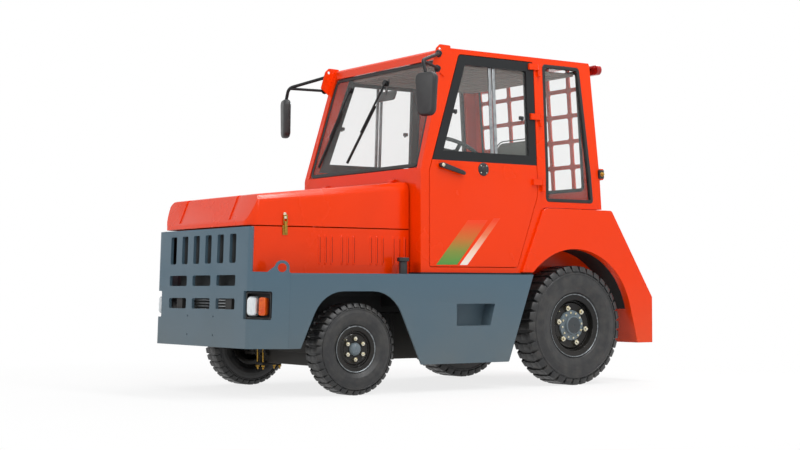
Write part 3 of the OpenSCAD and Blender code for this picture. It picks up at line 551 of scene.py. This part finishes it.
# Mirror arms: bent steel tube in powder black, two tubes on each side that meet over
# the mirror, on round feet bolted to the bracket plates.
def tube(shape, points, radius, bend=35):
    """Adds a round tube in mm along points, its inner corners bent in a curve."""
    route = [Vector(points[0])]
    for before, at, after in zip(points, points[1:], points[2:]):
        before, at, after = Vector(before), Vector(at), Vector(after)
        start, end = at + (before - at).normalized() * bend, at + (after - at).normalized() * bend
        route += [start.lerp(at, t).lerp(at.lerp(end, t), t) for t in (step / 6 for step in range(7))]
    route.append(Vector(points[-1]))
    path = bpy.data.curves.new("tube_path", "CURVE")
    path.dimensions, path.bevel_depth, path.bevel_resolution, path.use_fill_caps = "3D", radius / MM, 5, True
    line = path.splines.new("POLY")
    line.points.add(len(route) - 1)
    for point, place in zip(line.points, route):
        point.co = (*spot(*place), 1.0)
    holder = bpy.data.objects.new("tube_path", path)
    bpy.context.scene.collection.objects.link(holder)
    made = bpy.data.meshes.new_from_object(holder.evaluated_get(bpy.context.evaluated_depsgraph_get()))
    shape.from_mesh(made)
    bpy.data.objects.remove(holder)
    bpy.data.curves.remove(path)
    bpy.data.meshes.remove(made)


arms = bmesh.new()
tube(arms, [(1165, 712, 2252), (1405, 850, 2168), (1404, 885, 2086)], 12)
tube(arms, [(1180, 716, 2150), (1392, 843, 2164)], 10)
for x, z in (1165, 2252), (1180, 2150):
    turned(arms, [(0, 24), (13, 24), (16, 21), (18, 6), (24, 5), (25, 0)],
           lean @ moved_to(x, 741, z) @ outward, 32, 1)
bmesh.ops.recalc_face_normals(arms, faces=arms.faces)
mirrored(arms)
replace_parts(place_piece("mirror_tubes", arms, powder_black, "frame"), "mirror_arms")


# Mirrors: tall rounded shells moulded in black, each round a silvered glass that
# faces back along the tractor.
silvered = grained("silvered_glass", "C9D2D6", "B4BEC2",
                   patch=0.05, grain=0.02, rough=0.05, depth=0.01, Metallic=1.0)
heads, glasses = bmesh.new(), bmesh.new()
upright = Matrix(((0, 0, 1, 0), (1, 0, 0, 0), (0, 1, 0, 0), (0, 0, 0, 1)))
head_lie = moved_to(1404, 895, 1959) @ swung("Z", 20) @ upright
slab(heads, [(-64, -160), (64, -160), (82, 126), (-82, 126)], -27, 27, head_lie, 46, 17)
slab(glasses, [(-50, -144), (50, -144), (66, 110), (-66, 110)], -28.5, -26, head_lie, 34, 1)
mirrored(heads)
mirrored(glasses)
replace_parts(place_piece("mirror_shells", heads, moulded_black, "frame"), "mirror_heads")
place_piece("mirror_glasses", glasses, silvered, "frame")


# Tyres: cross-ply lug tyres in carbon-black rubber. The carcass is one moulding
# with a smooth wall, two raised rings and square lugs that wrap over the shoulder.
# Mould release and road dust lie in patches 60 mm across; the grain is drawn at 3 mm
tyre_rubber = grained("tyre_rubber", "1E1F21", "3A3937",
                      patch=0.06, grain=0.003, rough=0.44, depth=0.12, IOR=1.52)


def lug(shape, size, at, end_in, soft):
    """One square lug standing on Z: its outer end leans in by end_in at the top."""
    made = bmesh.ops.create_cube(shape, size=1.0)["verts"]
    bmesh.ops.scale(shape, vec=size, verts=made)
    outer = [v for v in made if v.co.y > 0 and v.co.z > 0]
    bmesh.ops.translate(shape, vec=(0, -end_in, 0), verts=outer)
    foot = [v for v in made if v.co.z < 0]
    bmesh.ops.scale(shape, vec=(1.12, 1.0, 1.0), verts=foot)
    edges = list({e for v in made for e in v.link_edges})
    made = rounded(shape, edges, soft, 2)["verts"]
    bmesh.ops.translate(shape, vec=at, verts=made)


def axle_frame(x, y, z, side):
    """Turns a shape drawn about Z, outboard up, to lie on a wheel's axle."""
    return moved_to(x, y * side, z) @ swung("X", -90 * side)


def ringed(shape, count, radius, turn=0.0):
    """Repeats a shape drawn on the axle, moved out to a radius, at even angles about Z."""
    bmesh.ops.translate(shape, vec=(radius, 0, 0), verts=shape.verts)
    bmesh.ops.rotate(shape, cent=(0, 0, 0), matrix=Matrix.Rotation(turn, 3, "Z"), verts=shape.verts)
    bmesh.ops.spin(shape, geom=shape.verts[:] + shape.edges[:] + shape.faces[:], cent=(0, 0, 0), axis=(0, 0, 1),
                   angle=tau * (count - 1) / count, steps=count - 1, use_duplicate=True)


# Each axle: x and z, middle of tread y, radius, half width, bead radius, bead half width
AXLES = {"f": (1850, 294, 675, 0.294, 0.090, 0.127, 0.062), "r": (0, 420, 647.5, 0.420, 0.1175, 0.190, 0.084)}
WHEELS = [(end + hand, side, *AXLES[end]) for end in AXLES for hand, side in (("l", 1), ("r", -1))]
lugs = 36
for corner, side, axle_x, axle_z, mid_y, reach, half, bead, seat in WHEELS:
    deep = 0.052 * reach
    flange = bead + (0.034 if reach > 0.35 else 0.023)
    wall_r = bead + 0.48 * (reach - bead)
    wall = [(bead + 0.0005, seat), (flange + 0.002, seat + 0.001), (flange + 0.010, half - 0.02),
            (wall_r - 0.024, half - 0.006), (wall_r + 0.004, half - 0.0012), (wall_r + 0.026, half - 0.003),
            (reach - 2.75 * deep, half - 0.010), (reach - 2.7 * deep, half - 0.006),
            (reach - 2.3 * deep, half - 0.008), (reach - 2.25 * deep, half - 0.012),
            (reach - 1.3 * deep, half - 0.018), (reach - 0.5 * deep, half - 0.05), (reach - 0.4 * deep, half * 0.3)]
    tyre = bmesh.new()
    lathe(tyre, wall + [(r, -h) for r, h in reversed(wall)], 4 * lugs, 0.006, closed=True)
    pitch = tau * reach / lugs
    for end in (1, -1):
        block = bmesh.new()
        shoulder, centre = reach - 0.95 * deep, reach - 0.6 * deep
        lug(block, (pitch * 0.72, half * 0.5, 1.9 * deep), (0, half * 0.75 - 0.006, shoulder), 0.018, 0.0045)
        lug(block, (pitch * 0.6, half * 0.62, 1.2 * deep), (pitch * 0.06, half * 0.3, centre), 0.0, 0.003)
        bmesh.ops.rotate(block, cent=(0, 0, 0), matrix=Matrix.Rotation(radians(90), 3, "X"), verts=block.verts)
        bmesh.ops.scale(block, vec=(1, 1, -end), verts=block.verts)
        bmesh.ops.recalc_face_normals(block, faces=block.faces)
        ringed(block, lugs, 0.0, pi)
        join(tyre, block)
    bmesh.ops.transform(tyre, matrix=axle_frame(axle_x, mid_y, axle_z, side), verts=tyre.verts)
    tread = place_piece("tread_" + corner, tyre, tyre_rubber, "wheel_" + corner)
    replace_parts(tread, "tyre_" + corner)


# Wheel discs: pressed steel with a rolled flange and a drop centre, in gloss black
# with a painted highlight as a bright steel ring on the flange, bolted to the hub with six zinc nuts.
rim_enamel = enamel("rim_enamel", "121315", "4A463F", gloss=0.14)
steel_and_painted_highlight = grained("steel_and_painted_highlight", "8A8F92", "4C4E50",
                       patch=0.02, grain=0.003, rough=0.34, depth=0.05, Metallic=1.0)
hub_enamel = enamel("hub_enamel", "64747E", "8A8478", gloss=0.3)
cap_grey = enamel("cap_grey", "3A4146", "5C5850", gloss=0.4)
# flange radius, disc height, hub radius and end, nuts' circle, size and turn
RIMS = {"f": (0.150, 0.050, 0.044, 0.082, 0.066, 0.0145, 30), "r": (0.224, 0.046, 0.074, 0.084, 0.126, 0.020, -12)}
for corner, side, axle_x, axle_z, mid_y, reach, half, bead, seat in WHEELS:
    flange, disc, hub, hub_end, nuts_r, nut, turn = RIMS[corner[0]]
    lie = axle_frame(axle_x, mid_y, axle_z, side)
    rim = bmesh.new()
    lathe(rim, [(hub * 0.9, disc), (bead - 0.045, disc), (bead - 0.034, disc + 0.006), (bead - 0.022, disc - 0.004),
                (bead - 0.014, disc - 0.004), (bead - 0.012, seat - 0.006), (bead - 0.009, seat + 0.001),
                (bead + 0.006, seat + 0.003), (flange - 0.004, seat + 0.0035), (flange, seat + 0.0065),
                (flange - 0.003, seat + 0.0078), (flange - 0.006, seat + 0.005), (bead - 0.001, seat + 0.002),
                (bead - 0.001, -seat), (flange, -seat - 0.001), (flange, -seat - 0.0075),
                (bead - 0.012, -seat - 0.0075), (bead - 0.012, disc - 0.016), (hub * 0.9, disc - 0.012)], 96, 0.002)
    # Faces on the outer lip of the flange take bright steel: a painted highlight ring
    for face in rim.faces:
        at = face.calc_center_median()
        face.material_index = int(at.z > seat + 0.0045 and Vector((at.x, at.y)).length > flange - 0.014)
    bmesh.ops.transform(rim, matrix=lie, verts=rim.verts)
    pressing = place_piece("disc_" + corner, rim, [rim_enamel, steel_and_painted_highlight], "wheel_" + corner)
    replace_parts(pressing, "rim_" + corner)
    cap = bmesh.new()
    if corner[0] == "f":
        lathe(cap, [(0.0, hub_end), (hub * 0.45, hub_end - 0.002), (hub * 0.8, hub_end - 0.011),
                    (hub * 0.95, hub_end - 0.022), (hub * 0.95, disc - 0.002), (hub * 1.02, disc - 0.004)], 48, 0.002)
    else:
        lathe(cap, [(0.0, hub_end - 0.003), (0.004, hub_end - 0.003), (0.007, hub_end - 0.001),
                    (hub * 0.78, hub_end), (hub * 0.88, hub_end - 0.005), (hub * 0.9, disc + 0.014),
                    (hub * 1.42, disc + 0.012), (hub * 1.46, disc - 0.002)], 64, 0.0015)
        for face in cap.faces:
            at = face.calc_center_median()
            face.material_index = int(Vector((at.x, at.y)).length < hub * 0.78)
    bmesh.ops.transform(cap, matrix=lie, verts=cap.verts)
    place_piece("hub_cap_" + corner, cap, [hub_enamel, cap_grey], "wheel_" + corner)
    fixings = bmesh.new()
    hex_nut(fixings, nut, disc, disc + nut * 1.1, nut * 0.75)
    ringed(fixings, 6, nuts_r, radians(turn))
    if corner[0] == "r":
        bolts = bmesh.new()
        hex_nut(bolts, 0.0085, disc + 0.012, disc + 0.019, 0.0025)
        ringed(bolts, 12, hub * 1.2, radians(7))
        join(fixings, bolts)
    bmesh.ops.transform(fixings, matrix=lie, verts=fixings.verts)
    place_piece("wheel_nuts_" + corner, fixings, zinc_plate, "wheel_" + corner)
    valve = bmesh.new()
    turned(valve, [(0, 26), (3.5, 26), (4, 12), (6, 9), (7.5, 0)], lie @ swung("Z", -38)
           @ Matrix.Translation((bead - 0.028, 0, disc + 0.004)), 12, 0.8)
    place_piece("valve_" + corner, valve, zinc_plate, "wheel_" + corner)


# Cab glazing: flat toughened panes with a faint grey-green tint, in which a pale,
# patchy haze is a painted reflection that lightens what is behind them, set in black rubber seals.
# Pale base colour at a little opacity: a painted reflection over what is behind the glass
pane_glass = grained("toughened_glass", "D2DAD8", "E6EAE8",
                     patch=0.3, grain=0.05, rough=0.04, depth=0.005, IOR=1.5, Alpha=0.07)
for part in ("cab_glass", "door_glass_left", "door_glass_right"):
    dressed(part, pane_glass, 0)
seal_rubber = grained("seal_rubber", "131415", "242423", patch=0.06, grain=0.003, rough=0.55, depth=0.15)
slope = swung("Y", -15.95)
screen_lie = moved_to(1313, 0, 1480) @ slope @ upright
rear_lie = moved_to(-265, 0, 1240) @ swung("Y", 4.05) @ upright
seals = bmesh.new()
slab(seals, [(-681, 3), (681, 3), (643.5, 774), (-643.5, 774)], 5, 12, screen_lie, 52, 3, 27)
slab(seals, oblong(-583, 147, 583, 1023), 19, 24, rear_lie, 40, 1.5, 24)
quarter = bmesh.new()
slab(quarter, [(256.5, 1286.5), (253.5, 2259.5), (-88.6, 2259.5), (-185.4, 1286.5)], 708, 736, side_lie, 30, 3, 24)
cut(quarter, (0, 0, WAIST), (0, 0, 1))
bmesh.ops.transform(quarter, matrix=lean, verts=[v for v in quarter.verts if v.co.z > WAIST - 0.00001])
mirrored(quarter)
join(seals, quarter)
place_piece("window_seals", seals, seal_rubber, "frame")


# Sliding panes of the doors: two aluminium edge bars meet behind one another in the
# middle of each window, with a black thumb latch at either end.
bars, thumbs = bmesh.new(), bmesh.new()
for x in (672, 705):
    slab(bars, oblong(x, 1602, x + 23, 2195), 711, 722, lean @ side_lie, 0, 2)
for x, z in (1008, 1862), (428, 1852):
    slab(thumbs, oblong(x, z, x + 40, z + 26), 712, 724, lean @ side_lie, 6, 3)
    slab(thumbs, oblong(x + 12, z - 8, x + 26, z + 16), 722, 731, lean @ side_lie, 4, 2)
on_both_doors("pane_bars", bars, aluminium)
on_both_doors("pane_latches", thumbs, moulded_black)


# Wiper blades, cab ceiling and inside mirror: rubber blades clipped under the arms,
# a ribbed grey liner pressed into the roof and a small mirror on the header.
blades = bmesh.new()
for y0, z0, y1, z1 in (55, 665, -208, 89), (-394, 660, -588, 82):
    run = Vector((y1 - y0, z1 - z0))
    foot, head, wide = Vector((y1, z1)), Vector((y0, z0)) + 0.28 * run, Vector((run.y, -run.x)).normalized() * 9
    slab(blades, [foot + wide, head + wide, head - wide, foot - wide], 7.5, 22, screen_lie, 3, 3)
place_piece("wiper_blades", blades, seal_rubber, "frame")
liner = bmesh.new()
slab(liner, oblong(-140, -600, 1010, 600), 2214, 2229, flat_lie, 40, 4)
for step in range(15):
    y = -560 + 80 * step
    slab(liner, oblong(-100, y - 14, 970, y + 14), 2206, 2216, flat_lie, 10, 5)
liner_vinyl = grained("liner_vinyl", "8E8A82", "9C9890", patch=0.1, grain=0.003, rough=0.7, depth=0.2)
place_piece("roof_liner", liner, liner_vinyl, "frame")
glance = bmesh.new()
slab(glance, [(-110, 560), (110, 560), (118, 630), (-118, 630)], -52, -34, screen_lie, 18, 6)
slab(glance, oblong(-9, 600, 9, 720), -40, -28, screen_lie, 4, 3)
place_piece("inside_mirror", glance, moulded_black, "frame")


# Lamp lenses: a fluted clear headlamp and an amber flasher side by side in each
# corner box, and red tail lamps, all moulded in acrylic.
lens_clear = grained("lens_clear", "E2E6E8", "CDD4D8", patch=0.04, grain=0.008, rough=0.1, depth=0.06, IOR=1.49)
lens_amber = grained("lens_amber", "D2480C", "DE661A",
                     patch=0.03, grain=0.006, rough=0.12, depth=0.08, IOR=1.49)
lens_red = grained("lens_red", "A81410", "8A0E0C", patch=0.03, grain=0.006, rough=0.14, depth=0.08, IOR=1.49)
plate_foot = moved_to(2580, 0, 307) @ swung("Y", -1.9)
lamp_lie = plate_foot @ Matrix.Translation((-0.058, 0.632, 0.270)) @ swung("Z", 42) @ upright
head, flash, bezels, wells = bmesh.new(), bmesh.new(), bmesh.new(), bmesh.new()
slab(wells, oblong(-70, -82, 94, 82), -66, -2, lamp_lie, 16, 2, 8)
slab(wells, oblong(-70, -82, 94, 82), -70, -58, lamp_lie, 16, 2)
slab(head, oblong(-54, -62, 6, 50), -59, 28, lamp_lie, 22, 8)
for step in range(5):
    u, v = -46 + 11 * step, -48 + 21 * step
    slab(head, oblong(u - 3.5, -50, u + 3.5, 38), 26, 30, lamp_lie, 3, 2)
    slab(flash, oblong(32, v - 4, 58, v + 4), 30, 36, lamp_lie, 3, 2)
slab(flash, oblong(24, -62, 66, 50), -59, 32, lamp_lie, 13, 6)
slab(bezels, oblong(-60, -68, 12, 56), -30, -3, lamp_lie, 22, 2, 5)
for shape in head, flash, bezels, wells:
    mirrored(shape)
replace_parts(place_piece("lamp_wells", wells, moulded_black, "frame"), "lamp_boxes")
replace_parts(place_piece("headlamp_lenses", head, lens_clear, "frame"), "head_lenses")
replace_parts(place_piece("flasher_lenses", flash, lens_amber, "frame"), "turn_lenses")
place_piece("headlamp_bezels", bezels, steel_and_painted_highlight, "frame")
dressed("tail_lamps", lens_red, 0.006)


# Inching switches on the rear posts: a folded bracket in cab colour that carries a
# black switch box with a brass push button, for moving up to a trailer from outside.
brass = grained("brass", "C09A48", "8E7030", patch=0.01, grain=0.002, rough=0.3, depth=0.04, Metallic=1.0)
bracket, boxes, buttons = bmesh.new(), bmesh.new(), bmesh.new()
slab(bracket, [(-180, 1442), (-290, 1462), (-290, 1540), (-180, 1540)], 722, 730, side_lie, 8, 1.5)
slab(boxes, oblong(-276, 1468, -232, 1530), 728, 752, side_lie, 6, 4)
turned(buttons, [(0, 20), (9, 19), (11, 15), (11, 6), (16, 5), (17, -2)],
       moved_to(-254, 750, 1499) @ outward, 32, 1.2)
for name, shape, coat, slot in (
        ("switch_brackets", bracket, cab_enamel, "cab_paint"),
        ("switch_boxes", boxes, moulded_black, "black_plastic"),
        ("switch_buttons", buttons, brass, "black_plastic")):
    mirrored(shape)
    place_piece(name, shape, coat, "frame")


# Driver's seat: moulded foam under a grey-green woven cover, puffed out by the foam
# between its corners, with a sewn piping round each pad.
seat_cloth, tree, shader = finish("seat_cloth", Base_Color=linear("6A716A"), Roughness=0.85)
place = place_in(tree)
# Threads are under 1 mm; drawn 4 mm apart so that the weave shows
spacing = {"Scale": 1 / 0.004 / 6.283, "Distortion": 1.0}
threads = [node(tree, "ShaderNodeTexWave", {"bands_direction": way, **spacing}, [(place, "Vector")]).outputs["Fac"]
           for way in ("Y", "DIAGONAL")]
weave = node(tree, "ShaderNodeMath", {"operation": "MULTIPLY"}, [(threads[0], 0), (threads[1], 1)]).outputs[0]
thread = node(tree, "ShaderNodeMix", {"data_type": "RGBA", 6: linear("6E766F"), 7: linear("98A099")}, [(weave, 0)])
tree.links.new(thread.outputs[2], shader.inputs["Base Color"])
roughen(tree, shader, weave, 0.3)


def stuffed(part, shrink, swell):
    """A pad from a solid: started smaller, remeshed, and blown out under its cover by no more than swell."""
    low, high = (Vector(corner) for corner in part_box(part))
    middle, size = (low + high) / 2, high - low
    shape = bmesh.new()
    shape.from_mesh(frame["nodes"][part].data)
    bmesh.ops.remove_doubles(shape, verts=shape.verts, dist=WELD)
    bmesh.ops.translate(shape, vec=-middle, verts=shape.verts)
    bmesh.ops.scale(shape, vec=[1 - 2 * shrink / side for side in size], verts=shape.verts)
    bmesh.ops.translate(shape, vec=middle, verts=shape.verts)
    pad = place_piece(part + "_pad", shape, seat_cloth, "frame", 80)
    remesh = pad.modifiers.new("cover", "REMESH")
    remesh.mode, remesh.voxel_size = "VOXEL", 0.006
    bpy.context.view_layer.update()
    pad.data = bpy.data.meshes.new_from_object(pad.evaluated_get(bpy.context.evaluated_depsgraph_get()))
    pad.modifiers.clear()
    start = [v.co.copy() for v in pad.data.vertices]
    cloth = pad.modifiers.new("foam", "CLOTH")
    cloth.settings.use_pressure = True
    cloth.settings.uniform_pressure_force = 4.0
    cloth.settings.effector_weights.gravity = 0.0
    settled = 20
    cloth.point_cache.frame_start, cloth.point_cache.frame_end = 1, settled
    for step in range(1, settled + 1):
        bpy.context.scene.frame_set(step)
    blown = bpy.data.meshes.new_from_object(pad.evaluated_get(bpy.context.evaluated_depsgraph_get()))
    pad.modifiers.clear()
    for vert, was, now in zip(pad.data.vertices, start, [v.co.copy() for v in blown.vertices]):
        move = now - was
        vert.co = was + move * min(1.0, swell / max(move.length, 1e-9))
    bpy.data.meshes.remove(blown)
    bpy.context.scene.frame_set(1)
    pad.data.shade_smooth()
    finer = pad.modifiers.new("finer", "SUBSURF")
    finer.levels = finer.render_levels = 1
    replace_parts(pad, part)


stuffed("seat_cushion", 0.009, 0.011)
stuffed("seat_back", 0.009, 0.011)
piping = bmesh.new()
slab(piping, oblong(-111, -240, 361, 240), 1228, 1236, flat_lie, 60, 3.5, 8)
slab(piping, oblong(-236, -1, 236, 521), 40, 48, moved_to(-50, 0, 1277)
     @ swung("Y", -7) @ upright, 90, 3.5, 8)
place_piece("seat_piping", piping, seal_rubber, "frame")


# Tow pin: bright drawn steel, scored and dulled by the tow-bar eyes.
pin_steel = grained("pin_steel", "9A9C9E", "6C6E70",
                    patch=0.02, grain=0.002, rough=0.34, depth=0.08, Metallic=1.0)
dressed("tow_pin", pin_steel, 0.002)


# Stage: a pale studio floor that fades to the white surround, under broad soft lamps.
def seen_rays(tree):
    """1 on rays that come to the eye straight, through glass or by a reflection."""
    rays = node(tree, "ShaderNodeLightPath").outputs
    seen = rays["Is Camera Ray"]
    for kind in ("Is Transmission Ray", "Is Glossy Ray"):
        seen = node(tree, "ShaderNodeMath", {"operation": "MAXIMUM"}, [(seen, 0), (rays[kind], 1)]).outputs[0]
    return seen


floor_paint, tree, shader = finish("floor_paint", Base_Color=linear("F2F2F2"), Roughness=0.9)
near = node(tree, "ShaderNodeVectorMath", {"operation": "LENGTH"}, [(place_in(tree), 0)]).outputs["Value"]
fade = node(tree, "ShaderNodeMapRange", {"From Min": 1.8, "From Max": 4.5, "To Min": 0.8, "To Max": 1.0},
            [(near, "Value")]).outputs[0]
seen = seen_rays(tree)
share = node(tree, "ShaderNodeMath", {"operation": "MULTIPLY"}, [(seen, 0), (fade, 1)]).outputs[0]
white = node(tree, "ShaderNodeEmission", {"Color": (1, 1, 1, 1), "Strength": 1.0}).outputs[0]
tree.links.new(node(tree, "ShaderNodeMixShader", links=[(share, 0), (shader.outputs[0], 1), (white, 2)]).outputs[0],
               tree.nodes["Material Output"].inputs["Surface"])
ground = bmesh.new()
bmesh.ops.create_grid(ground, x_segments=1, y_segments=1, size=60.0)
floor_mesh = bpy.data.meshes.new("floor")
ground.to_mesh(floor_mesh)
ground.free()
floor = bpy.data.objects.new("floor", floor_mesh)
floor_mesh.materials.append(floor_paint)
bpy.context.scene.collection.objects.link(floor)
floor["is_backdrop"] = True
surround = bpy.data.worlds.new("surround")
surround.use_nodes = True
tree = surround.node_tree
sky = tree.nodes["Background"]
sky.inputs["Color"].default_value = (1.0, 1.0, 1.0, 1.0)
glow = node(tree, "ShaderNodeMapRange", {"To Min": 0.4, "To Max": 1.0}, [(seen_rays(tree), "Value")]).outputs[0]
tree.links.new(glow, sky.inputs["Strength"])
bpy.context.scene.world = surround
for name, at, towards, size, power in (
        ("key_lamp", (3.0, 9.0, 8.0), (0.0, 0.0, 0.8), (5.0, 5.0), 280.0),
        ("front_lamp", (10.0, 1.5, 5.0), (1.0, 0.0, 0.8), (4.0, 4.0), 260.0),
        ("rim_lamp", (-7.0, -6.0, 7.0), (0.0, 0.0, 1.0), (5.0, 5.0), 330.0),
        ("strip_lamp", (-1.0, 2.2, 6.5), (-0.99, 0.3, 1.0), (0.6, 8.0), 280.0)):
    lamp = bpy.data.objects.new(name, bpy.data.lights.new(name, "AREA"))
    lamp.data.shape = "RECTANGLE"
    lamp.data.size, lamp.data.size_y = size
    lamp.data.energy = power
    aim = (Vector(towards) - Vector(at)).to_track_quat("-Z", "Y").to_matrix().to_4x4()
    lamp.matrix_world = Matrix.Translation(at) @ aim
    bpy.context.scene.collection.objects.link(lamp)
bpy.context.scene.view_settings.view_transform = "Standard"

low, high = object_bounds()
